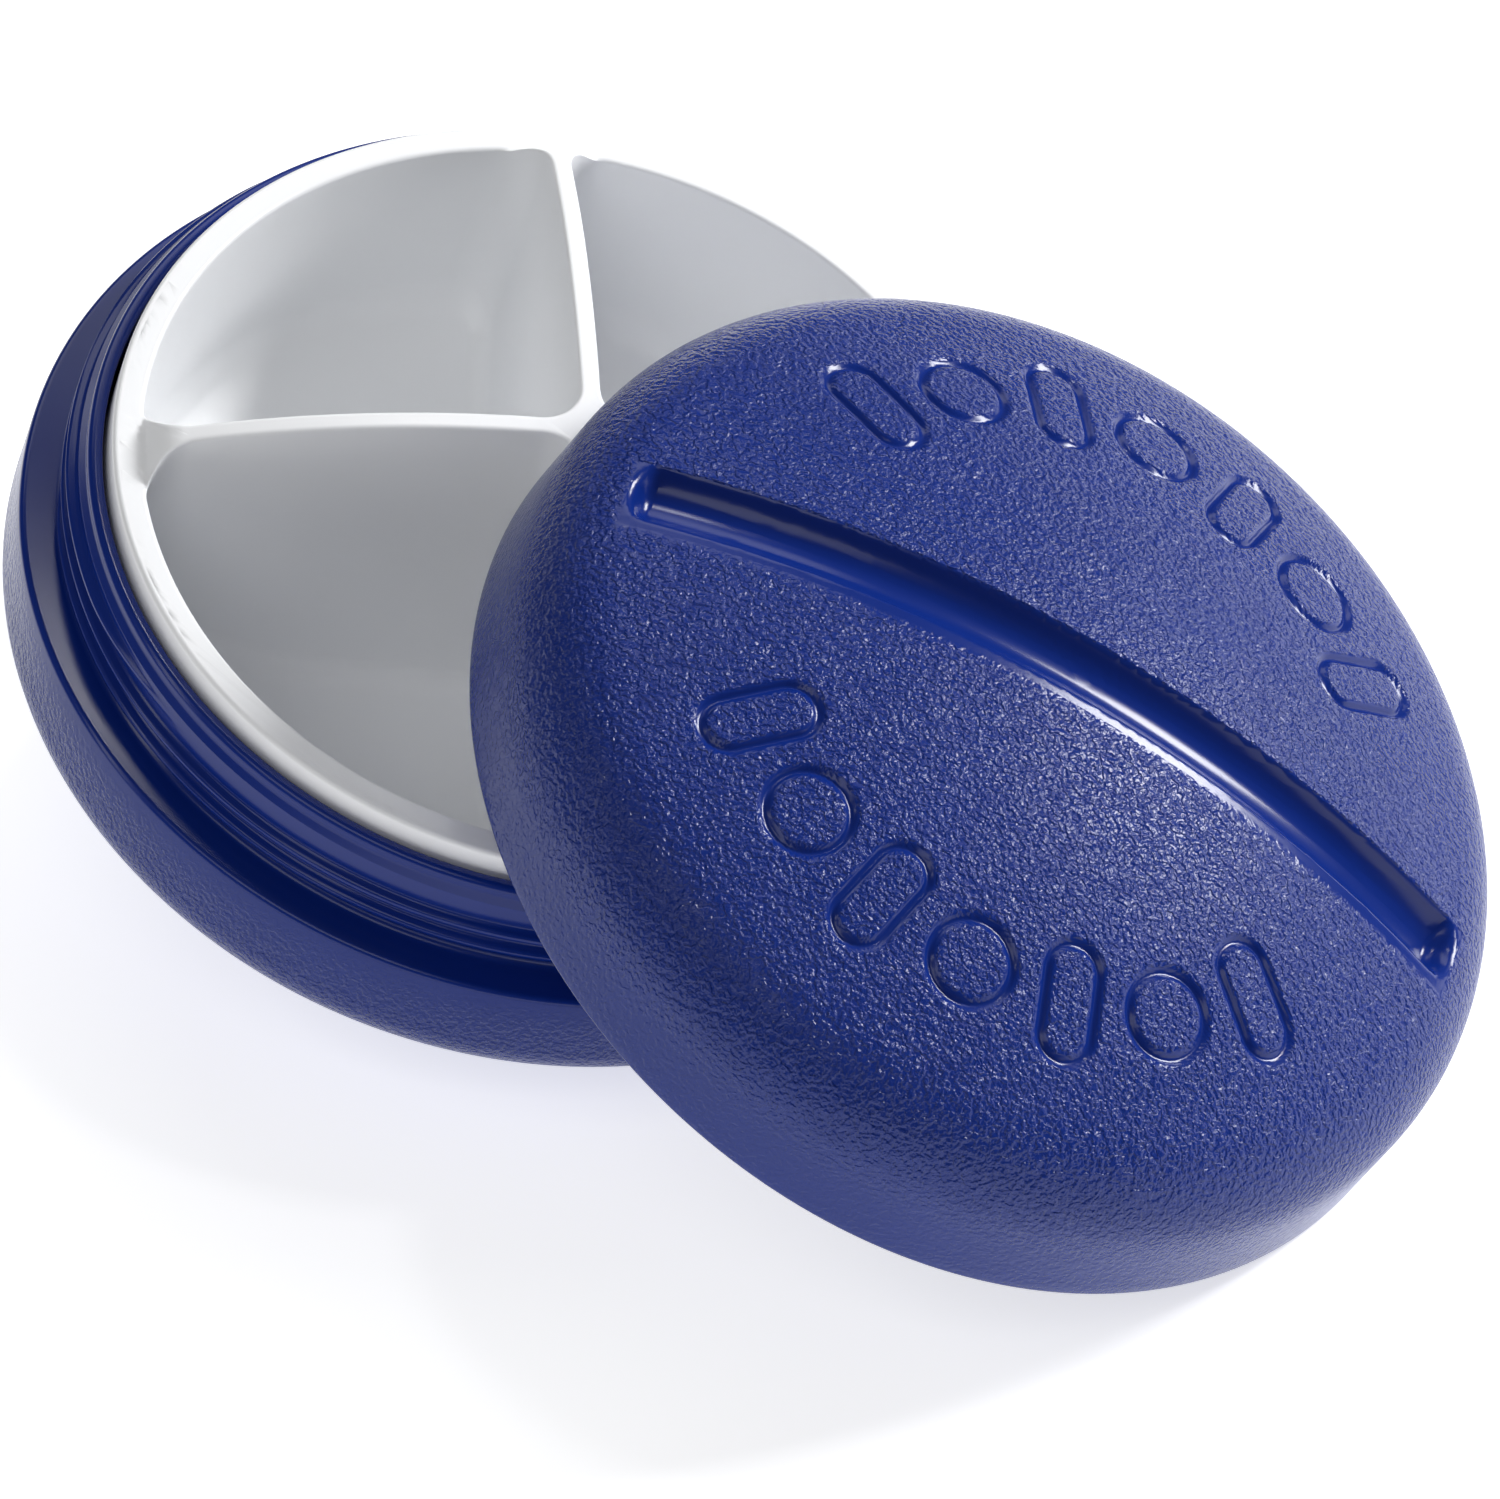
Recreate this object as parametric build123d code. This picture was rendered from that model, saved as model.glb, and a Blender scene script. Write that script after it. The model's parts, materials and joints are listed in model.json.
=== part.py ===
"""Tablet-shaped pill box: a screw-top box with a lift-out tray of four compartments.

It stands open on a floor at Z = 0, in millimetres. The base has rocked over on its domed underside,
and the lid leans on it with one edge on the floor. Each piece is first made square to its own axis,
with Z = 0 at the ledge of the base or at the rim of the lid, and is then set down in its place.
"""
import os
from math import acos, asin, cos, degrees, radians, sin, sqrt

from build123d import *

# ---- base, measured from its ledge --------------------------------------------------------------
outer_radius = 38.0          # the box is 76 mm across
base_wall = 5.9              # straight wall under the ledge
base_corner = 5.0            # round between the wall and the underside
base_dome = 78.0             # radius of the domed underside
foot_radius = 18.0           # small flat under the dome, so that the closed box stands still
edge_round = 0.5             # broken outer edge of the ledge
floor_wall = 2.2             # thickness under the tray
bore_radius = 33.4           # the tray drops in here
bore_corner = 3.0

# ---- threaded neck of the base ------------------------------------------------------------------
neck_radius = 34.9
neck_height = 7.3
neck_root = 0.6              # hollow round between the ledge and the neck
neck_foot = 1.0              # the neck is carried this far down into the base
lip_radius = 34.5            # the top of the neck steps in a little under its lip
lip_step = 5.9               # height of that step
lip_slope = 0.3
lip_round = 0.55

# ---- screw thread -------------------------------------------------------------------------------
thread_pitch = 1.75
thread_turns = 2.15
thread_width = 0.95          # at the root
thread_crest = 0.3           # at the crest
thread_start = 1.2           # height of the lower end above the ledge or the rim
thread_sink = 0.3            # the ridge is buried this far in the wall that carries it
neck_thread_turn = 205.0     # where the neck's thread starts, about the base's axis
neck_thread_depth = 0.75
lid_thread_depth = 0.85

# ---- tray ---------------------------------------------------------------------------------------
tray_radius = 33.1
tray_top = 9.15              # the rim stands proud of the neck
tray_rim = 2.1               # width of the rim's flat top
tray_edge = 0.4              # round of the rim's outer edge
tray_floor = 1.5
tray_gap = 0.05              # under the foot of the tray
dome_gap = 0.3               # between the domed floors of tray and base
hub_top = 17.2               # the dividers arch up to this height at the middle
arch_radius = 78.0
arch_corner = 4.0
arch_overlap = 0.1           # the arch bites this far into the rim
divider_half = 0.75
pocket_corner = 3.0
pocket_foot = 1.7            # round between a pocket's outer wall and its floor
tray_turn = 42.0             # way the cross points, about the base's axis

# ---- lid, measured from its rim -----------------------------------------------------------------
lid_radius = 38.1
lid_wall = 7.0
lid_corner = 7.9
lid_dome = 83.0
lid_side = 1.9               # thickness of the skirt and of the dome
rim_round = 0.3
groove_radius = 2.7          # round section of the score groove
groove_depth = 1.9
groove_reach = 33.6          # half its length, along the chord
groove_backing = 1.3         # wall left under the groove

# ---- shallow outline marks on the dome, in two arcs either side of the groove -------------------
mark_ring = 25.5             # radius of the arcs
mark_step = 17.5             # degrees from one mark to the next
marks_each_side = 3          # marks to either side of the middle one
mark_tool = 0.55             # radius of the round cutter
tablet_mark_radius = 3.1
capsule_mark_length = 8.6
capsule_mark_width = 4.0

# ---- how the open box stands --------------------------------------------------------------------
base_tilt = 18.8             # the base leans towards +X
lid_tilt = 31.565            # the lid leans further
lid_heading = 14.2           # direction in which the lid leans, from +X
lid_spin = 10.0              # turn of the groove about the lid's own axis
lid_place = (39.05, -2.45)   # middle of the lid's rim, from the base's axis at its ledge


def corner_rise(wall_radius, corner, dome):
    """How far the centre of the round corner lies beyond the centre of the dome, along the axis."""
    return sqrt((dome - corner) ** 2 - (wall_radius - corner) ** 2)


# ---- places that follow from the sizes above ----------------------------------------------------
base_centre = corner_rise(outer_radius, base_corner, base_dome) - base_wall
base_depth = sqrt(base_dome**2 - foot_radius**2) - base_centre
lid_centre = lid_wall - corner_rise(lid_radius, lid_corner, lid_dome)


def revolved(*edges):
    """A closed outline of (radius, height) edges turned about the Z axis."""
    return revolve(Plane.XZ * make_face(Wire(edges)), Axis.Z)


def domed_block(wall_radius, corner, dome, centre, start, top=None):
    """A round block up from start: straight wall, round corner, dome, and a flat at top if asked."""
    wall_top = centre + corner_rise(wall_radius, corner, dome)
    lean = degrees(asin((wall_radius - corner) / (dome - corner)))
    crown = centre + dome if top is None else top
    flat = degrees(acos((crown - centre) / dome))
    edges = [
        Line((0, start), (wall_radius, start)),
        Line((wall_radius, start), (wall_radius, wall_top)),
        CenterArc((wall_radius - corner, wall_top), corner, 0, 90 - lean),
        CenterArc((0, centre), dome, 90 - lean, lean - flat),
        Line((0, crown), (0, start)),
    ]
    if top is not None:
        edges.insert(4, Line((dome * sin(radians(flat)), crown), (0, crown)))
    return revolved(*edges)


def hanging_block(wall_radius, corner, dome, start, floor):
    """The same block hung down from start, with its dome about the centre of the base's dome."""
    block = domed_block(wall_radius, corner, dome, -base_centre, -start, -floor)
    return mirror(block, about=Plane.XY)


def thread_ridge(root, depth, inward=False):
    """One helical ridge with a trapezoid section, on the outside of a neck or inside a skirt."""
    way = -1 if inward else 1
    path = Pos(0, 0, thread_start) * Helix(thread_pitch, thread_pitch * thread_turns, root)
    buried = root - way * thread_sink
    crest = root + way * depth
    section = Plane.XZ * make_face(
        Polyline(
            (buried, thread_start - thread_width / 2),
            (crest, thread_start - thread_crest / 2),
            (crest, thread_start + thread_crest / 2),
            (buried, thread_start + thread_width / 2),
            close=True,
        )
    )
    return sweep(section, path=path, is_frenet=True)


def make_base():
    """The cup: domed underside, straight wall, ledge and threaded neck."""
    body = hanging_block(outer_radius, base_corner, base_dome, 0, -base_depth)
    body = fillet(body.edges().group_by(Axis.Z)[-1], edge_round)
    root_radius = neck_radius + neck_root
    neck = revolved(
        Line((0, -neck_foot), (root_radius, -neck_foot)),
        Line((root_radius, -neck_foot), (root_radius, 0)),
        CenterArc((root_radius, neck_root), neck_root, 180, 90),
        Line((neck_radius, neck_root), (neck_radius, lip_step)),
        Line((neck_radius, lip_step), (lip_radius, lip_step + lip_slope)),
        Line((lip_radius, lip_step + lip_slope), (lip_radius, neck_height - lip_round)),
        CenterArc((lip_radius - lip_round, neck_height - lip_round), lip_round, 0, 90),
        Line((lip_radius - lip_round, neck_height), (0, neck_height)),
        Line((0, neck_height), (0, -neck_foot)),
    )
    bore_top = neck_height + 1
    bore = hanging_block(
        bore_radius, bore_corner, base_dome - floor_wall, bore_top, floor_wall - base_depth
    )
    ridge = Rot(0, 0, neck_thread_turn) * thread_ridge(neck_radius, neck_thread_depth)
    return body + neck - bore + ridge


def make_tray():
    """A cup with a flat rim, and a cross of arched walls that leaves four rounded pockets."""
    foot = floor_wall - base_depth + tray_gap
    dome = base_dome - floor_wall - dome_gap
    cup = hanging_block(tray_radius, bore_corner - dome_gap, dome, tray_top, foot)
    cup = fillet(cup.edges().group_by(Axis.Z)[-1], tray_edge)

    inside = tray_radius - tray_rim
    arch = domed_block(
        inside + arch_overlap, arch_corner, arch_radius, hub_top - arch_radius, 0
    )

    across = inside / 2 + divider_half
    quarter = Circle(inside) & Pos(across, across) * Rectangle(inside, inside)
    quarter = fillet(quarter.vertices(), pocket_corner)
    pocket_floor = foot + tray_floor
    prism_top = hub_top + 1
    prism = Pos(0, 0, pocket_floor) * extrude(quarter, prism_top - pocket_floor)
    hollow = hanging_block(inside, pocket_foot, dome - tray_floor, prism_top, pocket_floor)
    pocket = prism & hollow
    tray = cup + arch
    for turn in range(4):
        tray -= Rot(0, 0, 90 * turn + tray_turn) * pocket
    return tray


def groove_bar(radius, depth):
    """A round bar bent to the dome, with its lowest line at the given depth below the dome."""
    ring = Pos(0, 0, lid_centre) * Rot(90, 0, 0) * Torus(lid_dome - depth + radius, radius)
    height = lid_dome
    return ring & Pos(0, 0, lid_centre + height) * Box(2 * groove_reach, 4 * radius, height)


def mark_cutters():
    """Outlines of a round tablet and of a capsule, turn about, in two arcs on the dome."""
    slope = degrees(asin(mark_ring / lid_dome))
    tablet = Torus(tablet_mark_radius, mark_tool)
    straight = (capsule_mark_length - capsule_mark_width) / 2
    half_width = capsule_mark_width / 2
    oblong = Wire(
        [
            Line((-straight, -half_width), (straight, -half_width)),
            CenterArc((straight, 0), half_width, -90, 180),
            Line((straight, half_width), (-straight, half_width)),
            CenterArc((-straight, 0), half_width, 90, 180),
        ]
    )
    section = Plane((0, -half_width, 0), z_dir=(1, 0, 0)) * Circle(mark_tool)
    capsule = sweep(section, path=oblong)
    cutters = []
    for side in (90, 270):
        for number in range(-marks_each_side, marks_each_side + 1):
            shape = capsule if number % 2 else tablet
            on_dome = Pos(0, 0, lid_centre) * Rot(0, 0, side + number * mark_step) * Rot(0, slope, 0)
            cutters.append(on_dome * Pos(0, 0, lid_dome) * shape)
    return cutters


def make_lid():
    """Domed cap: skirt with a thread inside, score groove across the top, shallow marks."""
    shell = domed_block(lid_radius, lid_corner, lid_dome, lid_centre, 0)
    shell = fillet(shell.edges().group_by(Axis.Z)[0], rim_round)
    inner_radius = lid_radius - lid_side
    cavity = domed_block(
        inner_radius, lid_corner - lid_side, lid_dome - lid_side, lid_centre, -1
    )
    backing = groove_bar(groove_radius + groove_backing, groove_depth + groove_backing)
    lid = shell - (cavity - backing) + thread_ridge(inner_radius, lid_thread_depth, inward=True)
    lid -= groove_bar(groove_radius, groove_depth)
    for cutter in mark_cutters():
        lid -= cutter
    return lid


def main():
    # the underside's dome touches the floor where it is level with it
    ledge_height = base_dome - base_centre * cos(radians(base_tilt))
    stand = Pos(0, 0, ledge_height) * Rot(0, base_tilt, 0)
    lean = Pos(*lid_place) * Rot(0, 0, lid_heading) * Rot(0, lid_tilt, 0) * Rot(0, 0, lid_spin)
    lid = lean * make_lid()
    pieces = {
        "base_shell": stand * make_base(),
        "divider_tray": stand * make_tray(),
        "lid_shell": Pos(0, 0, -lid.bounding_box().min.Z) * lid,
    }

    # the origin is on the floor, under the middle of the open box
    middle = Compound(list(pieces.values())).bounding_box().center()
    centred = Pos(-middle.X, -middle.Y, 0)
    os.makedirs("parts", exist_ok=True)
    for name, piece in pieces.items():
        export_step(centred * piece, f"parts/{name}.step")
    foot = centred * stand * Pos(0, 0, -base_depth)
    rim = centred * Pos(0, 0, -lid.bounding_box().min.Z) * lean
    print("foot centre", foot.position, "lid rim centre", rim.position)


main()
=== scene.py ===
# %% [markdown]
# # A tablet-shaped pill box, standing open
# The real object is three mouldings: a deep blue base with a screw neck, a white tray with four
# compartments, and a deep blue lid shaped like the top of a scored tablet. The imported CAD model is
# the fixed frame. It says where each moulding is and how it moves. Here each one is modelled again
# at a finer grain, in the same place, and given the finish of moulded plastic.

# %% Load the frame
import json
from math import acos, asin, atan2, ceil, cos, degrees, hypot, pi, radians, sin, sqrt

import bmesh
import bpy
import numpy as np
from mathutils import Matrix, Vector


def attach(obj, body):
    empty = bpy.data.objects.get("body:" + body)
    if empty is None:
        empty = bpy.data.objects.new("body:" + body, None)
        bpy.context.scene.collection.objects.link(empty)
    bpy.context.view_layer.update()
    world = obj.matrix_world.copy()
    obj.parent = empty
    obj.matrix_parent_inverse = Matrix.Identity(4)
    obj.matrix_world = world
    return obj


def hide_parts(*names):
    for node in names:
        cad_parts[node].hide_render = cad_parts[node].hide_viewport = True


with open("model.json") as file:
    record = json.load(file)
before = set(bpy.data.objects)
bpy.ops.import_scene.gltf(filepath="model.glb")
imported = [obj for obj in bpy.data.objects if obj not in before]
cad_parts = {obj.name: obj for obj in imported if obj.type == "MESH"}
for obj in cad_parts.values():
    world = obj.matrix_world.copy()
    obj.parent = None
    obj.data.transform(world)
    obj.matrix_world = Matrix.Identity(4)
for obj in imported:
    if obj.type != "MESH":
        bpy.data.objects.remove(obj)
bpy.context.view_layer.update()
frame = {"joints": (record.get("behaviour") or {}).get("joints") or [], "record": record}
MM = 0.001
HAIR = 0.01

# %% [markdown]
# ## Where the pieces stand
# The tray lifts out along the base's own axis, so the joint in the frame gives the way the base
# leans, and the flat foot gives a point on that axis. The lid leans against the base. Its tilt and
# its place are the ones that the CAD model was made with, and its rim's low edge is on the floor.

# %% Place the base and the lid
foot_depth = 16.679
base_lean = (39.05, -2.45)
lid_heading, lid_tilt, lid_spin = 14.2, 31.565, 10.0
lid_rim_radius, lid_rim_round = 38.1, 0.3

lift = next(joint for joint in frame["joints"] if joint["name"] == "tray_lift")
base_axis = Vector(lift["axis"]).normalized()
foot = Vector(frame["record"]["mounts"][0]["pos_m"])
ledge = foot + base_axis * foot_depth * MM
base_place = Matrix.Translation(ledge) @ Matrix.Rotation(atan2(base_axis.x, base_axis.z), 4, "Y")

drop = (lid_rim_radius - lid_rim_round) * sin(radians(lid_tilt))
rim_height = drop + lid_rim_round * (1 - cos(radians(lid_tilt)))
lid_place = (
    Matrix.Translation((ledge.x + base_lean[0] * MM, ledge.y + base_lean[1] * MM, rim_height * MM))
    @ Matrix.Rotation(radians(lid_heading), 4, "Z")
    @ Matrix.Rotation(radians(lid_tilt), 4, "Y")
    @ Matrix.Rotation(radians(lid_spin), 4, "Z")
)
print("ledge centre", [round(c / MM, 2) for c in ledge], "rim height", round(rim_height, 2))

# %% [markdown]
# ## Helpers for turned shapes
# All three mouldings are round, so each starts as an outline of (radius, height) points that is
# spun about its axis. Round stretches of the outline are arcs. A straight stretch is divided where
# a thread has to be pushed out of it afterwards.

# %% Outlines and spinning
def arc(centre, radius, start, end, steps):
    """Points along an arc about centre, from the start angle to the end angle in degrees."""
    return [
        (centre[0] + radius * cos(radians(a)), centre[1] + radius * sin(radians(a)))
        for a in np.linspace(start, end, steps + 1)
    ]


def divided(start, end, pitch):
    """Points from start to end, both included, no further apart than pitch."""
    steps = max(1, ceil(hypot(end[0] - start[0], end[1] - start[1]) / pitch))
    return [
        (start[0] + (end[0] - start[0]) * k / steps, start[1] + (end[1] - start[1]) * k / steps)
        for k in range(steps + 1)
    ]


def spun(points, steps):
    """A bmesh of an outline, in millimetres, spun once about the Z axis and closed."""
    bm = bmesh.new()
    verts = [bm.verts.new((radius, 0, height)) for radius, height in points]
    edges = [bm.edges.new(pair) for pair in zip(verts, verts[1:])]
    bmesh.ops.spin(
        bm, geom=verts + edges, cent=(0, 0, 0), axis=(0, 0, 1), dvec=(0, 0, 0),
        angle=2 * pi, steps=steps, use_merge=True, use_duplicate=False,
    )
    bmesh.ops.remove_doubles(bm, verts=bm.verts, dist=0.001)
    bmesh.ops.recalc_face_normals(bm, faces=bm.faces)
    return bm


def smooth(x):
    """Eases from 0 to 1 as x goes from 0 to 1, for arrays and numbers."""
    x = np.clip(x, 0, 1)
    return x * x * (3 - 2 * x)


def corner_rise(wall_radius, corner, dome):
    """How far the centre of a round corner lies beyond the centre of a dome tangent to it."""
    return sqrt((dome - corner) ** 2 - (wall_radius - corner) ** 2)


def dome_lean(wall_radius, corner, dome):
    """Angle from the axis at which the dome meets the round corner, in degrees."""
    return degrees(asin((wall_radius - corner) / (dome - corner)))


def coordinates(bm):
    """All vertex positions of a bmesh as an array of rows."""
    return np.array([v.co for v in bm.verts])


def move_to(bm, places):
    """Puts every vertex of a bmesh at its row of the array."""
    for vertex, place in zip(bm.verts, places):
        vertex.co = place


def cut(bm, faces, point, normal):
    """Cuts some faces of a bmesh with one plane and keeps both sides."""
    edges = list(dict.fromkeys(edge for face in faces for edge in face.edges))
    verts = list(dict.fromkeys(vertex for face in faces for vertex in face.verts))
    bmesh.ops.bisect_plane(
        bm, geom=verts + edges + faces, dist=0.004, plane_co=point, plane_no=normal,
        clear_inner=False, clear_outer=False, use_snap_center=False,
    )


def finished(name, bm, place, grain):
    """A bmesh as a smooth object in the row's frame, with a grain value on each vertex."""
    mesh = bpy.data.meshes.new(name)
    bmesh.ops.scale(bm, vec=(MM, MM, MM), verts=bm.verts)
    bmesh.ops.transform(bm, matrix=place, verts=bm.verts)
    bm.to_mesh(mesh)
    bm.free()
    mesh.attributes.new("grain", "FLOAT", "POINT").data.foreach_set("value", grain)
    mesh.polygons.foreach_set("use_smooth", [True] * len(mesh.polygons))
    piece = bpy.data.objects.new(name, mesh)
    bpy.context.scene.collection.objects.link(piece)
    mesh.calc_loop_triangles()
    print(name, "triangles", len(mesh.loop_triangles))
    return piece


# %% [markdown]
# ## The screw thread
# The neck carries a low moulded ridge that climbs a little more than two turns and runs out to
# nothing at both ends. A ridge is a function of the angle and the height, so it is pushed out of a
# finely divided neck, which leaves no seam where it grows out of the wall.

# %% Thread
thread_pitch, thread_turns, thread_start = 1.75, 2.15, 1.2
thread_width, thread_crest = 0.95, 0.3
run_out = 0.06


def ridge(angle, height, depth, first_angle):
    """Height of the ridge over the wall, for arrays of angles (radians) and heights."""
    turn = np.mod((angle - first_angle) / (2 * pi), 1)
    highest = np.zeros_like(turn)
    for lap in range(ceil(thread_turns)):
        along = turn + lap
        away = np.abs(height - thread_start - thread_pitch * along)
        flank = smooth((thread_width / 2 - away) / ((thread_width - thread_crest) / 2))
        ends = smooth(along / run_out) * smooth((thread_turns - along) / run_out)
        highest = np.maximum(highest, depth * flank * ends)
    return highest


# %% [markdown]
# ## The base
# A domed cup. Outside it has a small flat foot, a dome, a round corner and a short wall with
# leather grain. The ledge, the neck and the bore are smooth and glossy. One outline goes from the
# middle of the foot, up the outside, over the neck's lip and down the bore to the middle of the
# floor.

# %% Base
outer_radius, base_wall, base_corner, base_dome = 38.0, 5.9, 5.0, 78.0
foot_radius, edge_round, floor_wall = 18.0, 0.5, 2.2
neck_radius, neck_height, neck_root = 34.9, 7.3, 0.6
lip_radius, lip_step, lip_slope, lip_round = 34.5, 5.9, 0.3, 0.55
bore_radius, bore_corner, bore_edge = 33.4, 3.0, 0.3
neck_thread_depth = 0.75
neck_thread_step, base_grain_fade = 0.11, 0.3
thread_first_angle = radians(205)
base_centre = corner_rise(outer_radius, base_corner, base_dome) - base_wall
base_steps = 400


def base_outline():
    """The base's outline, from the middle of the foot round to the middle of the floor."""
    lean = dome_lean(outer_radius, base_corner, base_dome)
    foot_angle = degrees(asin(foot_radius / base_dome))
    inner_dome = base_dome - floor_wall
    inner_lean = dome_lean(bore_radius, bore_corner, inner_dome)
    inner_floor = floor_wall - foot_depth
    floor_angle = degrees(acos((base_centre - inner_floor) / inner_dome))
    bore_bottom = base_centre - corner_rise(bore_radius, bore_corner, inner_dome)
    points = [(0, -foot_depth), (foot_radius * 0.6, -foot_depth)]
    points += arc((0, base_centre), base_dome, foot_angle - 90, lean - 90, 22)
    points += arc((outer_radius - base_corner, -base_wall), base_corner, lean - 90, 0, 10)
    points += arc((outer_radius - edge_round, -edge_round), edge_round, 0, 90, 4)
    points += arc((neck_radius + neck_root, neck_root), neck_root, 270, 180, 4)
    points += divided((neck_radius, neck_root + 0.1), (neck_radius, lip_step), neck_thread_step)
    points += [(lip_radius, lip_step + lip_slope)]
    points += arc((lip_radius - lip_round, neck_height - lip_round), lip_round, 0, 90, 6)
    points += arc((bore_radius + bore_edge, neck_height - bore_edge), bore_edge, 90, 180, 3)
    points += divided((bore_radius, neck_height - 1), (bore_radius, bore_bottom + 1), 2)
    points += arc((bore_radius - bore_corner, bore_bottom), bore_corner, 0, inner_lean - 90, 6)
    points += arc((0, base_centre), inner_dome, inner_lean - 90, floor_angle - 90, 12)[1:]
    return points + [(0, inner_floor)]


def base_shell():
    """The blue base, with the thread pushed out of its neck."""
    bm = spun(base_outline(), base_steps)
    places = coordinates(bm)
    radius = np.hypot(places[:, 0], places[:, 1])
    height = places[:, 2]
    on_neck = (radius > neck_radius - HAIR) & (height > neck_root) & (height < lip_step + HAIR)
    angle = np.arctan2(places[:, 1], places[:, 0])
    out = ridge(angle, height, neck_thread_depth, thread_first_angle) * on_neck
    scale = 1 + out / np.maximum(radius, 1)
    places[:, 0] *= scale
    places[:, 1] *= scale
    move_to(bm, places)
    outside = smooth((-edge_round - height) / base_grain_fade) * (radius > foot_radius)
    bowl = np.hypot(radius, height - base_centre) < base_dome - floor_wall / 2
    grain = outside * np.where(bowl & (radius < bore_radius + 0.1), 0, 1)
    return finished("base_body", bm, base_place, grain)


base_body = base_shell()
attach(base_body, "base")
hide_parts("base_shell")

# %% [markdown]
# ## The tray
# A white cup with a flat rim. Four pockets leave a cross of thin walls, whose top edges arch up to
# a hub in the middle. Every edge of the real moulding is a little round. The cup's outside is
# spun. Each pocket is a row of closed loops, bridged one to the next: over the rounded edge, down
# the wall, round the foot, and inwards over the domed floor. The top surface between the pockets
# and the rim is filled, cut finely where the dividers meet the rim, and raised to the arch.

# %% Tray
tray_radius, tray_top, tray_rim, tray_edge = 33.1, 9.15, 2.1, 0.4
tray_floor, tray_gap, dome_gap, tray_edge_keep = 1.5, 0.05, 0.3, 0.1
hub_top, arch_radius, arch_corner = 17.2, 78.0, 4.0
divider_half, pocket_corner, pocket_foot, pocket_edge = 0.75, 3.0, 1.7, 0.32
tray_turn = radians(42)
arch_blend = 0.5
divider_end_cuts = (27.5, 28.6, 29.4, 30.0, 30.4, 30.7, 31.0, 31.5)
divider_side_cuts = (-3.0, -1.8, -0.8, 0, 0.8, 1.8, 3.0)
divider_end_zone = 20
tray_steps = 240
inside_radius = tray_radius - tray_rim
tray_foot = floor_wall - foot_depth + tray_gap
tray_dome = base_dome - floor_wall - dome_gap
pocket_floor = tray_foot + tray_floor
pocket_dome = tray_dome - tray_floor


def top_height(radius):
    """Height of the tray's top surface: the flat rim, and the arch of the dividers inside it."""
    arch_centre = hub_top - arch_radius
    wall = inside_radius
    corner_height = arch_centre + corner_rise(wall, arch_corner, arch_radius)
    join = arch_radius * sin(radians(dome_lean(wall, arch_corner, arch_radius)))
    if radius < join:
        return arch_centre + sqrt(arch_radius**2 - radius**2)
    over = min(radius - (wall - arch_corner), arch_corner)
    arch = corner_height + sqrt(arch_corner**2 - over**2)
    return (tray_top + arch + sqrt((arch - tray_top) ** 2 + arch_blend**2)) / 2


def floor_height(radius):
    """Height of a pocket's domed floor, flat in the middle of the tray."""
    return max(pocket_floor, base_centre - sqrt(pocket_dome**2 - radius**2))


def pocket_outline(grow):
    """Points round one pocket, a quarter disc with round corners, grown outwards by grow."""
    near = divider_half + pocket_corner
    outer_turn = asin(near / (inside_radius - pocket_corner))
    far = (inside_radius - pocket_corner) * cos(outer_turn)
    turn = degrees(outer_turn)
    radius = pocket_corner + grow
    loop = arc((near, near), radius, 180, 270, 10)
    loop += divided((near, divider_half - grow), (far, divider_half - grow), 0.9)[1:-1]
    loop += arc((far, near), radius, 270, 360 + turn, 18)
    loop += arc((0, 0), inside_radius + grow, turn, 90 - turn, 44)[1:-1]
    loop += arc((near, far), radius, 90 - turn, 180, 18)
    loop += divided((divider_half - grow, far), (divider_half - grow, near), 0.9)[1:-1]
    return loop


def ring(bm, points):
    """A closed loop of edges through the points."""
    verts = [bm.verts.new(point) for point in points]
    return [bm.edges.new(pair) for pair in zip(verts, verts[1:] + verts[:1])]


def pocket_rings():
    """One pocket's loops of points, from its top edge down and over its floor."""
    rings = []
    loop = pocket_outline(pocket_edge + tray_edge_keep)
    rings.append([(x, y, top_height(hypot(x, y))) for x, y in loop])
    for a in np.linspace(0, pi / 2, 5):
        loop = pocket_outline(pocket_edge * (1 - sin(a)))
        sink = pocket_edge * (1 - cos(a))
        rings.append([(x, y, top_height(hypot(x, y)) - sink) for x, y in loop])
    wall_top = rings[-1]
    for a in np.linspace(0, pi / 2, 6):
        loop = pocket_outline(pocket_foot * (cos(a) - 1))
        rise = pocket_foot * (1 - sin(a))
        rings.append([(x, y, floor_height(hypot(x, y)) + rise) for x, y in loop])
        if a == 0:
            wall_foot = rings.pop()
            for part in np.linspace(0, 1, 9)[1:]:
                pairs = zip(wall_top, wall_foot)
                rings.append([(u[0], u[1], u[2] + (v[2] - u[2]) * part) for u, v in pairs])
    loop = np.array(pocket_outline(-pocket_foot))
    middle = loop.mean(axis=0)
    for shrink in np.linspace(1, 0.12, 9)[1:]:
        inner = middle + (loop - middle) * shrink
        rings.append([(x, y, floor_height(hypot(x, y))) for x, y in inner])
    return rings


def cut_top(bm, top, point, normal, along):
    """Cuts the filled top surface with one plane, near the divider end that lies along a way."""
    faces = [
        face for face in bm.faces
        if face[top] and face.calc_center_median().dot(along) > divider_end_zone
    ]
    cut(bm, faces, point, normal)


def shape_top(bm, top):
    """Gives the filled top surface the arch's height, with enough points at the divider ends."""
    for quarter in range(4):
        turn = tray_turn + quarter * pi / 2
        along = Vector((cos(turn), sin(turn), 0))
        across = Vector((-sin(turn), cos(turn), 0))
        for away in divider_end_cuts:
            cut_top(bm, top, along * away, along, along)
        for away in divider_side_cuts:
            cut_top(bm, top, across * away, across, along)
    for vertex in {vertex for face in bm.faces if face[top] for vertex in face.verts}:
        radius = vertex.co.xy.length
        if radius < tray_radius - tray_edge - tray_edge_keep - HAIR:
            vertex.co.z = top_height(radius)


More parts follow.
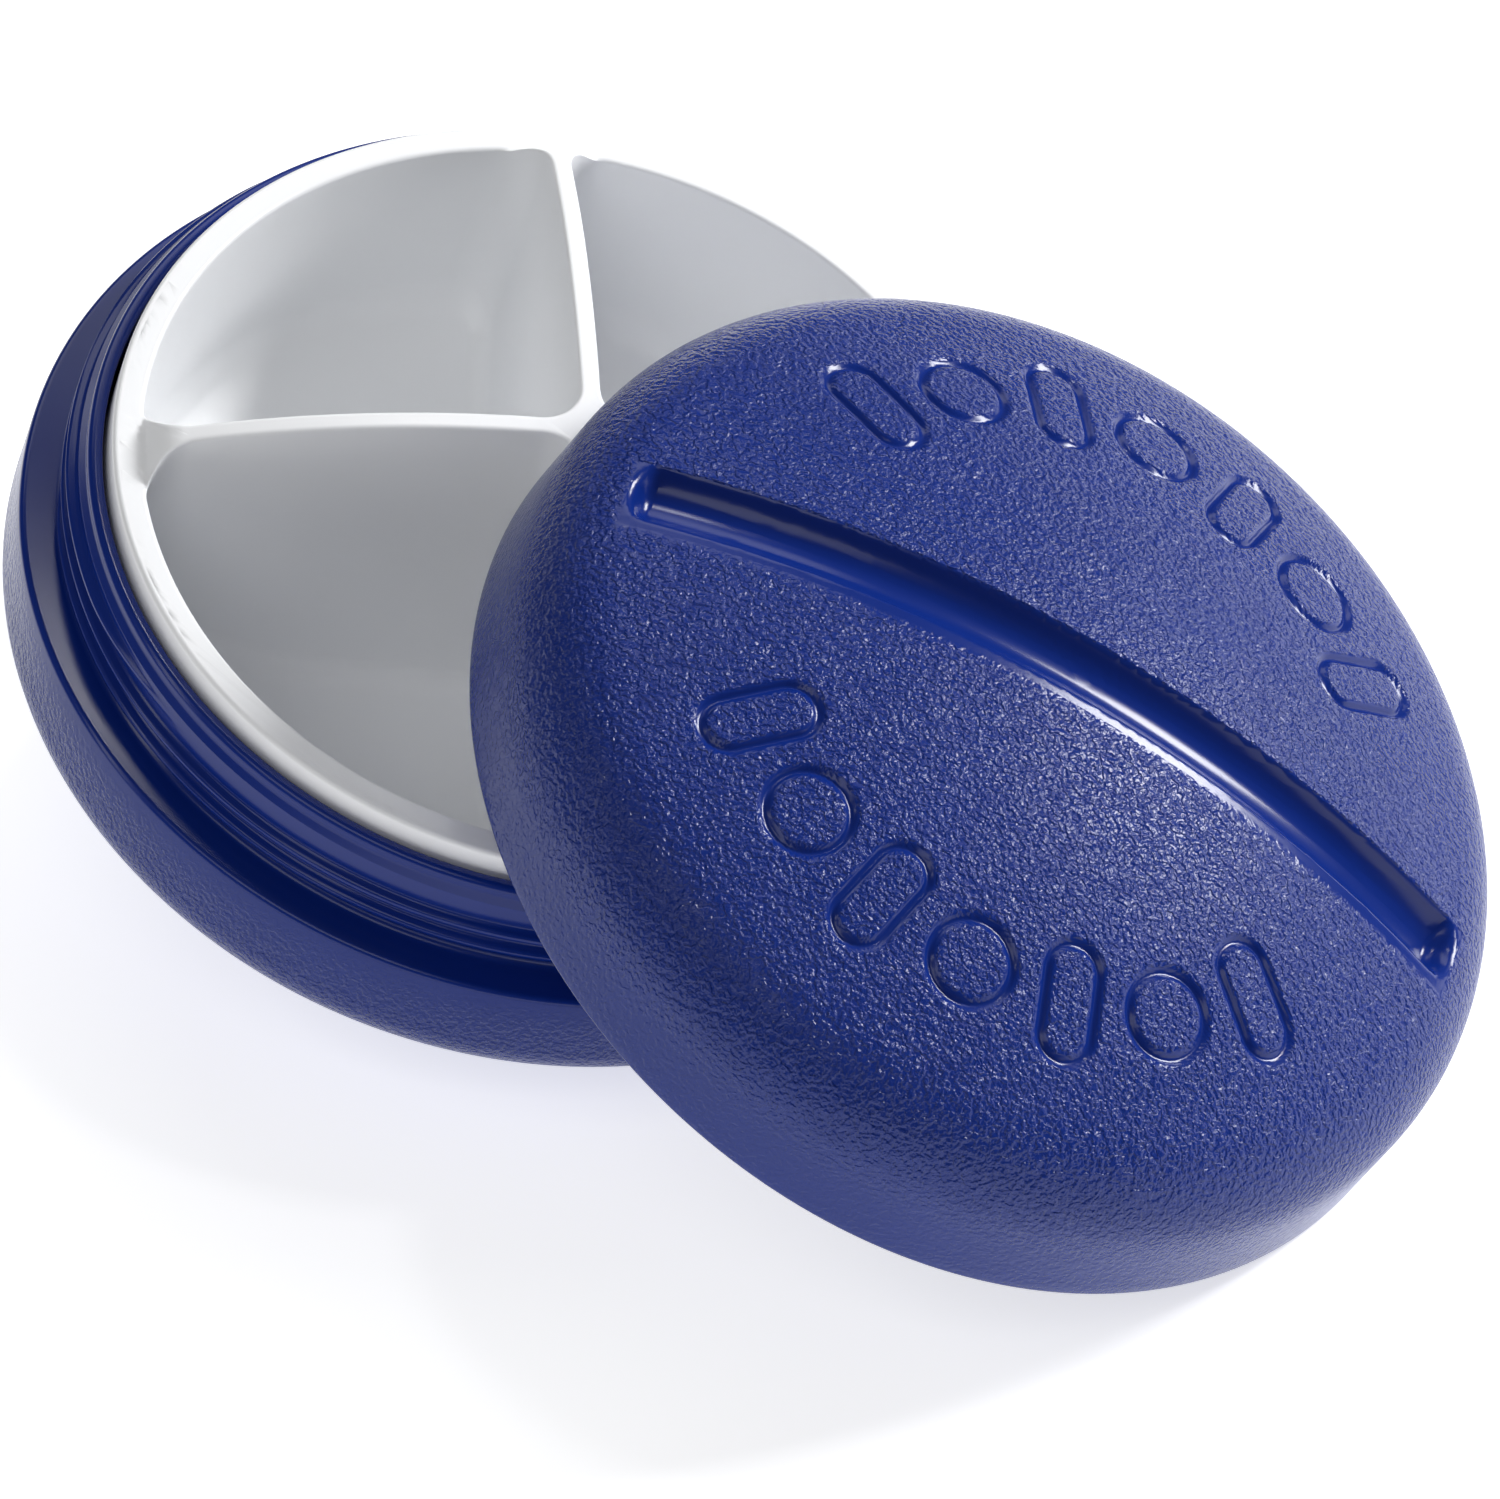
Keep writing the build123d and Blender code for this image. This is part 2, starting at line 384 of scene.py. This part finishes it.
def divider_tray():
    """The white tray: a spun cup, four lined pockets, and a top surface filled between them."""
    corner = bore_corner - dome_gap
    wall_end = base_centre - corner_rise(tray_radius, corner, tray_dome)
    lean = dome_lean(tray_radius, corner, tray_dome)
    foot_angle = degrees(acos((base_centre - tray_foot) / tray_dome))
    rim = tray_radius - tray_edge
    points = [(rim - tray_edge_keep, tray_top)]
    points += arc((rim, tray_top - tray_edge), tray_edge, 90, 0, 5)
    points += divided((tray_radius, tray_top - 2), (tray_radius, wall_end + 1), 2)
    points += arc((tray_radius - corner, wall_end), corner, 0, lean - 90, 5)
    points += arc((0, base_centre), tray_dome, lean - 90, foot_angle - 90, 12)[1:]
    points += [(0, tray_foot)]
    bm = spun(points, tray_steps)
    top = bm.faces.layers.int.new("top")
    for quarter in range(4):
        turn = Matrix.Rotation(tray_turn + quarter * pi / 2, 3, "Z")
        loops = [ring(bm, [turn @ Vector(point) for point in loop]) for loop in pocket_rings()]
        for upper, lower in zip(loops, loops[1:]):
            bmesh.ops.bridge_loops(bm, edges=upper + lower)
        bmesh.ops.edgeloop_fill(bm, edges=loops[-1])
    open_edges = [edge for edge in bm.edges if edge.is_boundary]
    filled = bmesh.ops.triangle_fill(bm, use_beauty=False, edges=open_edges, normal=(0, 0, 1))
    for part in filled["geom"]:
        if isinstance(part, bmesh.types.BMFace):
            part[top] = 1
    shape_top(bm, top)
    bmesh.ops.recalc_face_normals(bm, faces=bm.faces)
    print("tray open edges", sum(1 for edge in bm.edges if edge.is_boundary))
    return finished("tray_cup", bm, base_place, [0.0] * len(bm.verts))


tray_cup = divider_tray()
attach(tray_cup, "tray")
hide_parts("divider_tray")

# %% [markdown]
# ## The lid
# A shallow cap with the dome of a tablet. A round-bottomed groove crosses it like a score line, and
# two arcs of shallow outlines, a round tablet and a capsule turn about, stand in for its lettering.
# The cap is spun. Straight cuts along the groove, made with bisect_plane, give the groove's section
# clean edges to follow, and the skin is divided finely only where a mark runs. Then every vertex
# moves down towards the centre of the dome by the depth of what is cut there.

# %% Lid outline
lid_wall, lid_corner, lid_dome, lid_side = 7.0, 7.9, 83.0, 1.9
lid_thread_depth, lid_thread_top, lid_thread_step = 0.85, 6.4, 0.14
skirt_top = 5
lid_centre = lid_wall - corner_rise(lid_rim_radius, lid_corner, lid_dome)
lid_steps = 240


def lid_outline():
    """From the top of the dome down the outside to the rim, and up the inside to the middle."""
    lean = dome_lean(lid_rim_radius, lid_corner, lid_dome)
    inner_radius, inner_corner = lid_rim_radius - lid_side, lid_corner - lid_side
    inner_dome = lid_dome - lid_side
    points = arc((0, lid_centre), lid_dome, 90, 90 - lean, 34)
    points += arc((lid_rim_radius - lid_corner, lid_wall), lid_corner, 90 - lean, 0, 14)[1:]
    points += divided((lid_rim_radius, lid_wall - 1), (lid_rim_radius, lid_rim_round), 1)
    rim = lid_rim_radius - lid_rim_round
    points += arc((rim, lid_rim_round), lid_rim_round, 0, -90, 3)[1:]
    points += arc((inner_radius + lid_rim_round, lid_rim_round), lid_rim_round, -90, -180, 3)
    thread_foot = (inner_radius, lid_rim_round + 0.1)
    points += divided(thread_foot, (inner_radius, lid_thread_top), lid_thread_step)
    points += arc((lid_rim_radius - lid_corner, lid_wall), inner_corner, 0, 90 - lean, 7)
    points += arc((0, lid_centre), inner_dome, 90 - lean, 90, 26)[1:]
    points[0] = (0, points[0][1])
    points[-1] = (0, points[-1][1])
    return points


# %% [markdown]
# The groove and the marks are functions of a place on the dome. A mark is the distance from a line
# drawn on the dome: a circle for a tablet, and two half circles joined by straights for a capsule.
# The groove's section is an arc of a circle, and its ends are round in plan. The grain comes right
# up to the groove on one side. On the other side a smooth band is left, and the grain fades in.

# %% Groove and marks
groove_radius, groove_depth, groove_reach, groove_backing = 2.7, 1.9, 33.6, 1.3
groove_lip, groove_half_width = 0.35, 2.6
end_bulge, end_bulge_limit, end_extra, end_slope = 0.11, 9, 0.4, 1.3
groove_zone, plain_band, plain_fade, close_fade = 6, 0.7, 1.0, 0.2
beyond_gap, beyond_fade = 0.3, 0.5
groove_cuts = (0, 0.7, 1.3, 1.8, 2.15, 2.4, 2.6, 2.8, 3.05, 3.4, 3.9, 4.4)
end_cuts = (31.8, 32.4, 32.8, 33.2, 33.6, 34.1)
grain_from, grain_full, low_grain, skirt_grain, rim_fade = 4, 9, 0.3, 0.25, 0.6
mark_ring, mark_step, marks_each_side = 25.5, 17.5, 3
mark_half_width, mark_depth, mark_reaches = 0.50, 0.40, (1.7, 1.05)
mark_grain_from, mark_grain_fade = 0.45, 0.2
tablet_radius, capsule_half_straight, capsule_radius = 3.1, 2.3, 2.0


def mark_distance(places):
    """Distance of each place on the dome from the nearest mark's line, in millimetres."""
    slope = asin(mark_ring / lid_dome)
    nearest = np.full(len(places), 1e3)
    for side in (90, 270):
        for number in range(-marks_each_side, marks_each_side + 1):
            turn = radians(side + number * mark_step)
            along = places[:, 0] * cos(turn) + places[:, 1] * sin(turn)
            across = places[:, 1] * cos(turn) - places[:, 0] * sin(turn)
            u = along * cos(slope) - (places[:, 2] - lid_centre) * sin(slope)
            if number % 2:
                past_end = np.maximum(np.abs(u) - capsule_half_straight, 0)
                away = np.abs(np.hypot(past_end, across) - capsule_radius)
            else:
                away = np.abs(np.hypot(u, across) - tablet_radius)
            nearest = np.minimum(nearest, away)
    return nearest


def groove_section(across, radius, depth):
    """Depth of a round-bottomed channel across its width, with softened lips."""
    sunk = np.sqrt(np.maximum(radius**2 - across**2, 0)) - (radius - depth)
    return (sunk + np.sqrt(sunk**2 + groove_lip**2 / 4)) / 2


def groove_along(places):
    """1 along the groove, easing to 0 at the end walls, which are round in plan."""
    bulge = end_bulge * np.minimum(places[:, 1] ** 2, end_bulge_limit)
    return smooth((groove_reach + end_extra - bulge - np.abs(places[:, 0])) / end_slope)


def grain_beside_groove(places):
    """1 where the grain is full, 0 in the groove and in the smooth band along one of its sides."""
    across = places[:, 1]
    close_side = smooth((across - groove_half_width) / close_fade)
    plain_side = smooth((-across - groove_half_width - plain_band) / plain_fade)
    beyond_ends = smooth((np.abs(places[:, 0]) - groove_reach - beyond_gap) / beyond_fade)
    return np.maximum(np.maximum(close_side, plain_side), beyond_ends)


# %% [markdown]
# The cuts lie closer together near the lips, where the section turns fastest. Only geometry near
# the groove is cut, so the rest of the dome keeps its plain rings.

# %% Lid
def is_outer(place):
    """Whether a place is on the outside of the lid rather than in its hollow."""
    radius, height = hypot(place[0], place[1]), place[2]
    if radius < lid_rim_radius - lid_corner:
        return hypot(radius, height - lid_centre) > lid_dome - lid_side / 2
    past_corner = hypot(radius - lid_rim_radius + lid_corner, height - lid_wall)
    return past_corner > lid_corner - lid_side / 2


def cut_near_groove(bm, point, normal):
    """Cuts the outer skin near the groove with one plane."""
    faces = []
    for face in bm.faces:
        middle = face.calc_center_median()
        near = middle.z > skirt_top and abs(middle.y) < groove_zone
        if near and face.normal.z > 0 and is_outer(middle):
            faces.append(face)
    cut(bm, faces, point, normal)


def divide_near_marks(bm, reach):
    """Divides the faces of the outer skin that lie within reach of a mark's line."""
    middles = np.array([face.calc_center_median() for face in bm.faces])
    near = (mark_distance(middles) < reach) & (middles[:, 2] > lid_wall)
    near &= np.array([is_outer(middle) for middle in middles])
    faces = [face for face, keep in zip(bm.faces, near) if keep]
    edges = list(dict.fromkeys(edge for face in faces for edge in face.edges))
    bmesh.ops.subdivide_edges(bm, edges=edges, cuts=1, use_grid_fill=True)


def lid_shell():
    """The blue lid, with its groove, its marks and the thread inside its skirt."""
    bm = spun(lid_outline(), lid_steps)
    for away in groove_cuts:
        for side in (-1, 1) if away else (1,):
            cut_near_groove(bm, (0, side * away, 0), (0, 1, 0))
    for away in end_cuts:
        for side in (-1, 1):
            cut_near_groove(bm, (side * away, 0, 0), (1, 0, 0))
    for reach in mark_reaches:
        divide_near_marks(bm, reach)
    places = coordinates(bm)
    radius = np.hypot(places[:, 0], places[:, 1])
    height = places[:, 2]
    from_centre = places - np.array((0, 0, lid_centre))
    outward = from_centre / np.linalg.norm(from_centre, axis=1)[:, None]
    outer = np.array([is_outer(place) for place in places]) & (height > skirt_top)
    inner = ~outer & (height > skirt_top) & (radius < lid_rim_radius - lid_corner + 3)
    along, beside = groove_along(places), grain_beside_groove(places)
    channel = groove_section(places[:, 1], groove_radius, groove_depth) * along
    strokes = mark_distance(places)
    stroke = mark_depth * smooth(1 - strokes / mark_half_width)
    backing_radius, backing_depth = groove_radius + groove_backing, groove_depth + groove_backing
    backing = groove_section(places[:, 1], backing_radius, backing_depth) - lid_side
    sunk = outer * (channel + stroke) + inner * np.maximum(backing, 0) * along
    places -= outward * sunk[:, None]
    angle = np.arctan2(places[:, 1], places[:, 0])
    in_skirt = (radius < lid_rim_radius - lid_side + HAIR) & (height < lid_thread_top + HAIR)
    inward = ridge(angle, height, lid_thread_depth, 0) * (in_skirt & ~outer)
    places[:, 0] *= 1 - inward / np.maximum(radius, 1)
    places[:, 1] *= 1 - inward / np.maximum(radius, 1)
    move_to(bm, places)
    rising = smooth((height - grain_from) / (grain_full - grain_from))
    grain = outer * (1 - (1 - low_grain) * (1 - rising)) * beside
    grain *= smooth((strokes - mark_grain_from) / mark_grain_fade)
    skirt_outside = (radius > lid_rim_radius - HAIR) & (height <= skirt_top)
    grain = np.where(skirt_outside, skirt_grain * smooth(height / rim_fade), grain)
    return finished("lid_cap", bm, lid_place, grain)


lid_cap = lid_shell()
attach(lid_cap, "lid")
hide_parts("lid_shell")

# %% [markdown]
# ## Shader maths as plain expressions
# A material's height pattern is a sum of products of noises. Written as Python expressions it reads
# like the formula it is. One small class wraps a number that comes out of a node, and each operator
# adds the Math node for it.

# %% Sockets that can be added and multiplied
class Number:
    """A number in a material: the output of some node."""

    def __init__(self, tree, socket):
        self.tree, self.socket = tree, socket

    def math(self, operation, *operands):
        """Adds a Math node with these operands, each a Number or a plain number."""
        node = self.tree.nodes.new("ShaderNodeMath")
        node.operation = operation
        for entry, operand in zip(node.inputs, operands):
            if isinstance(operand, Number):
                self.tree.links.new(operand.socket, entry)
            else:
                entry.default_value = operand
        return Number(self.tree, node.outputs[0])

    def __add__(self, other):
        return self.math("ADD", self, other)

    def __radd__(self, other):
        return self.math("ADD", other, self)

    def __sub__(self, other):
        return self.math("SUBTRACT", self, other)

    def __rsub__(self, other):
        return self.math("SUBTRACT", other, self)

    def __mul__(self, other):
        return self.math("MULTIPLY", self, other)

    def __rmul__(self, other):
        return self.math("MULTIPLY", other, self)


class Finish:
    """One material, with its Principled shader and one way to add every other node."""

    def __init__(self, name, **constants):
        self.material = bpy.data.materials.new(name)
        self.material.use_nodes = True
        self.tree = self.material.node_tree
        self.shader = self.tree.nodes["Principled BSDF"]
        for socket, value in constants.items():
            self.shader.inputs[socket.replace("_", " ")].default_value = value
        self.place = self.add("ShaderNodeTexCoord", {}, {}).outputs["Object"]

    def add(self, kind, settings, sockets):
        """Adds a node, first with its settings and then with its sockets' values or links."""
        node = self.tree.nodes.new(kind)
        for name, value in settings.items():
            setattr(node, name, value)
        for name, value in sockets.items():
            if isinstance(value, Number):
                value = value.socket
            if isinstance(value, bpy.types.NodeSocket):
                self.tree.links.new(value, node.inputs[name])
            else:
                node.inputs[name].default_value = value
        return node

    def number(self, node, output=0):
        """A node's output as a Number."""
        return Number(self.tree, node.outputs[output])

    def noise(self, size, detail=1.0, distortion=0.0):
        """Noise whose features are about size millimetres across."""
        node = self.add(
            "ShaderNodeTexNoise",
            {"noise_dimensions": "3D"},
            {
                "Vector": self.place, "Scale": 1 / (size * MM),
                "Detail": detail, "Distortion": distortion,
            },
        )
        return self.number(node, "Fac")

    def eased(self, value, low, high):
        """Maps value from low..high onto 0..1, with soft ends."""
        node = self.add(
            "ShaderNodeMapRange",
            {"interpolation_type": "SMOOTHSTEP"},
            {"Value": value, "From Min": low, "From Max": high},
        )
        return self.number(node)

    def blend(self, factor, first, second):
        """A colour between two colours."""
        node = self.add("ShaderNodeMix", {"data_type": "RGBA"}, {0: factor, 6: first, 7: second})
        return node.outputs[2]

    def attribute(self, name):
        """A value stored on the mesh."""
        node = self.add("ShaderNodeAttribute", {"attribute_name": name}, {})
        return self.number(node, "Fac")

    def bump(self, height, distance):
        """Drives the shader's normal with a height of 0 to 1, distance millimetres tall."""
        node = self.add("ShaderNodeBump", {}, {"Height": height, "Distance": distance * MM})
        self.drive("Normal", node.outputs[0])

    def drive(self, name, value):
        """Links a value to one of the shader's sockets."""
        if isinstance(value, Number):
            value = value.socket
        self.tree.links.new(value, self.shader.inputs[name])

    def put_on(self, piece):
        """Gives this finish to a piece."""
        piece.data.materials.clear()
        piece.data.materials.append(self.material)


# %% [markdown]
# ## Blue plastic with a leather grain
# The mould's outside faces are etched with a fine wormlike grain, and its neck, groove and marks
# are polished. A noise that is stretched hard about its middle value turns into short, wandering
# ridges with flat tops. A finer one is mixed in and both are distorted a little, which keeps the
# grain from looking regular. The mesh's grain value says where it fades out. A slow noise changes
# the colour and the gloss, and a very low one keeps the smooth parts from being perfectly even.

# %% Blue plastic
deep_blue, worn_blue = (0.003, 0.019, 0.175, 1), (0.005, 0.024, 0.205, 1)


def blue_plastic(name, grain_height):
    """Deep blue moulded plastic with a leather grain where the mesh asks for it."""
    finish = Finish(name, Specular_IOR_Level=0.32)
    grain = finish.attribute("grain")
    worms = finish.eased(finish.noise(0.44, detail=0.6, distortion=0.4), 0.36, 0.64)
    fine = finish.eased(finish.noise(0.25, detail=0.5, distortion=0.3), 0.36, 0.64)
    slow = finish.noise(9.0, detail=2.0)
    leather = (worms * 0.75 + fine * 0.25) * grain
    flow = finish.noise(2.6, detail=2.0) * 0.03
    finish.bump(leather + flow, grain_height)
    finish.drive("Base Color", finish.blend(slow, deep_blue, worn_blue))
    finish.drive("Roughness", 0.17 + 0.07 * grain + 0.05 * slow)
    return finish


lid_blue = blue_plastic("blue_lid", 0.135)
lid_blue.put_on(lid_cap)
base_blue = blue_plastic("blue_shell", 0.10)
base_blue.put_on(base_body)

# %% [markdown]
# ## White plastic
# The tray is smooth and slightly satin, with the faint unevenness of a thin moulding. Its white is
# a little cold.

# %% White plastic
tray_white, tray_shade = (0.93, 0.94, 0.955, 1), (0.91, 0.92, 0.94, 1)
white_plastic = Finish("white_tray", Specular_IOR_Level=0.5)
mottle = white_plastic.noise(7.0, detail=3.0)
speck = white_plastic.noise(0.9, detail=2.0)
white_plastic.drive("Base Color", white_plastic.blend(mottle, tray_white, tray_shade))
white_plastic.drive("Roughness", 0.26 + 0.1 * mottle)
white_plastic.bump(mottle * 0.7 + speck * 0.06, 0.05)
white_plastic.put_on(tray_cup)

# %% [markdown]
# ## Floor, light and camera
# A plain white floor under soft studio light. The paper glows a little, as an overexposed studio
# floor seems to, which keeps it white where the pieces throw their shadows.

# %% Floor
bpy.ops.mesh.primitive_plane_add(size=4, location=(0, 0, 0))
floor = bpy.context.object
floor.name = "studio_floor"
paper = Finish(
    "studio_paper", Roughness=0.9, Specular_IOR_Level=0.1,
    Emission_Color=(1, 1, 1, 1), Emission_Strength=0.66,
)
paper_white, paper_shade = (0.94, 0.94, 0.94, 1), (0.92, 0.92, 0.92, 1)
paper.drive("Base Color", paper.blend(paper.noise(300.0), paper_shade, paper_white))
paper.put_on(floor)

# %% [markdown]
# The lights are given by azimuth from the camera's own, so they keep their places round the view.
# A wide one behind lights the dome, and the small one next to it gives the grain its sparkle. The
# one at the right makes the lid's sheen. The narrow one at the left draws long highlights along
# the neck, a soft one in front fills, and the world lifts the shadows.

# %% Lights
world = bpy.data.worlds.new("studio")
bpy.context.scene.world = world
world.use_nodes = True
world.node_tree.nodes["Background"].inputs["Color"].default_value = (1, 1, 1, 1)
world.node_tree.nodes["Background"].inputs["Strength"].default_value = 0.08


def softbox(name, azimuth, elevation, distance, width, height, power):
    """An area light that looks at the object from an azimuth and elevation in degrees."""
    light = bpy.data.lights.new(name, "AREA")
    light.shape, light.size, light.size_y = "RECTANGLE", width, height
    light.energy = power
    lamp = bpy.data.objects.new(name, light)
    bpy.context.scene.collection.objects.link(lamp)
    a, e = radians(azimuth), radians(elevation)
    away = Vector((sin(a) * cos(e), -cos(a) * cos(e), sin(e)))
    lamp.location = away * distance
    lamp.rotation_euler = away.to_track_quat("Z", "Y").to_euler()


camera_azimuth, camera_elevation, camera_roll = 39.807, 41.230, -2.4376
softbox("back_top", camera_azimuth + 180, 50, 1.0, 0.9, 0.35, 2.0)
softbox("sparkle", camera_azimuth + 158, 70, 1.0, 0.10, 0.10, 0.7)
softbox("right_back", camera_azimuth + 108, 33, 0.9, 0.30, 0.26, 8.2)
softbox("left_box", camera_azimuth - 75, 35, 0.9, 0.12, 0.7, 0.8)
softbox("front_top", camera_azimuth - 20, 50, 1.0, 0.7, 0.4, 1.6)

# %% [markdown]
# The camera is far away behind a long lens, so the object shows little perspective. It is aimed at
# a point on the floor beyond the base.

# %% Camera
camera_distance, lens, aim = 1.5, 497.2, (7.960, 12.924)
azimuth, elevation, roll = radians(camera_azimuth), radians(camera_elevation), radians(camera_roll)
look = Vector((-sin(azimuth) * cos(elevation), cos(azimuth) * cos(elevation), -sin(elevation)))
level = Vector((cos(azimuth), sin(azimuth), 0))
upright = level.cross(look)
right = level * cos(roll) + upright * sin(roll)
up = upright * cos(roll) - level * sin(roll)
target = Vector((ledge.x + aim[0] * MM, ledge.y + aim[1] * MM, 0))
camera = bpy.data.objects.new("camera", bpy.data.cameras.new("camera"))
bpy.context.scene.collection.objects.link(camera)
camera.matrix_world = Matrix.Translation(target - look * camera_distance) @ Matrix(
    (right, up, -look)
).transposed().to_4x4()
camera.data.sensor_width, camera.data.lens = 36, lens
camera.data.clip_end = 10
bpy.context.scene.camera = camera
bpy.context.scene.view_settings.view_transform = "Standard"
